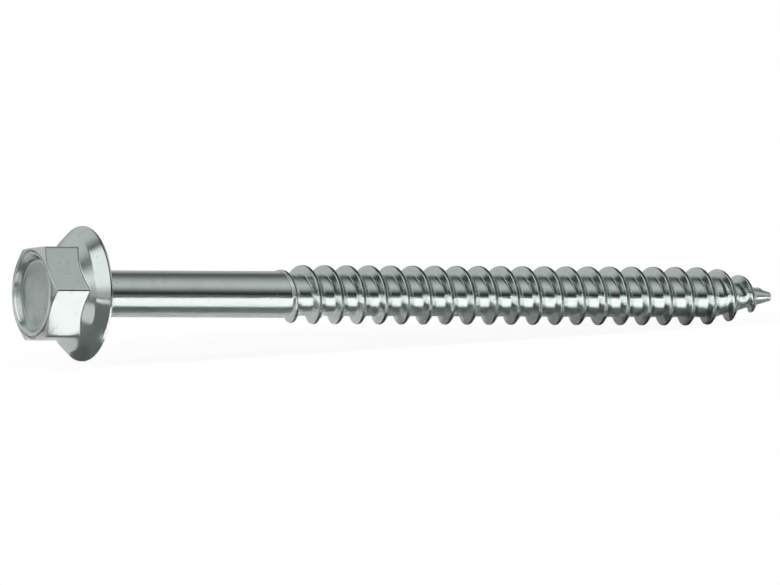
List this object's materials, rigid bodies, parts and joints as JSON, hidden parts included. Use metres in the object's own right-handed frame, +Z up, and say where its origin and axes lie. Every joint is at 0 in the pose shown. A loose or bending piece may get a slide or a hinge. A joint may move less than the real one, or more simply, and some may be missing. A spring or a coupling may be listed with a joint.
{
  "type": "hex washer-head lag screw",
  "caption": "Steel lag screw with a cupped hex washer head, a plain shank, a coarse wood thread and a gimlet point, driven into timber with a socket.",
  "frame": {"origin": "on the floor below the middle of the lying screw, at the bottom centre of its box", "axes": "+X from the head towards the point, +Z up, with the screw lying at rest on its washer's rim and on one crest near the point"},
  "size_m": [0.1076, 0.0175, 0.0175],
  "materials": {
    "bright_zinc": "bright zinc plate over smooth rolled steel, polished"
  },
  "bodies": {
    "root": {"lag_screw": "bright_zinc"}
  },
  "joints": []
}
